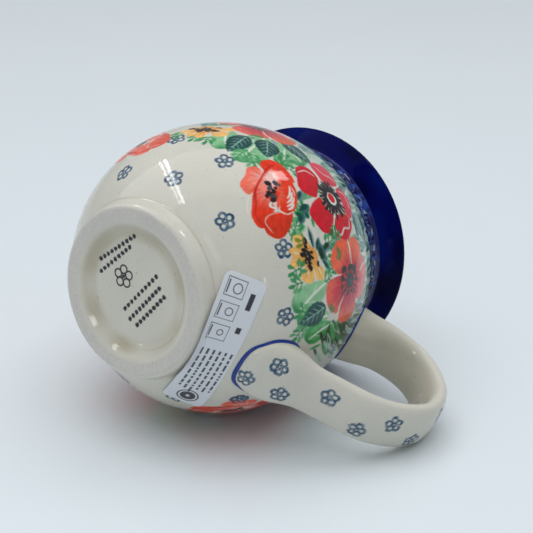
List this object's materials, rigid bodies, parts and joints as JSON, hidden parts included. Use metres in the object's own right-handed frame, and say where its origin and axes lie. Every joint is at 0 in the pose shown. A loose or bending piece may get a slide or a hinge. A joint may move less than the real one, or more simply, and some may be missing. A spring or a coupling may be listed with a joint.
{
  "type": "stoneware mug",
  "caption": "Round-bellied stoneware bubble mug with a flared collar, a turned foot ring, a strap handle luted on with slip, and a paper sticker on its lower belly",
  "frame": {"origin": "centre of the foot ring's resting plane", "axes": "+Z from the foot up to the rim along the pot's axis, +X towards the handle, +Y completes a right-handed frame"},
  "size_m": [0.146, 0.105, 0.105],
  "materials": {
    "glazed_pot": "gloss",
    "glazed_handle": "gloss",
    "glazed_slip": "gloss",
    "sticker_paper": "matte"
  },
  "bodies": {
    "root": {"pot_body": "glazed_pot", "strap_handle": "glazed_handle", "upper_luting_slip": "glazed_slip", "lower_luting_slip": "glazed_slip", "paper_sticker": "sticker_paper"}
  },
  "joints": []
}
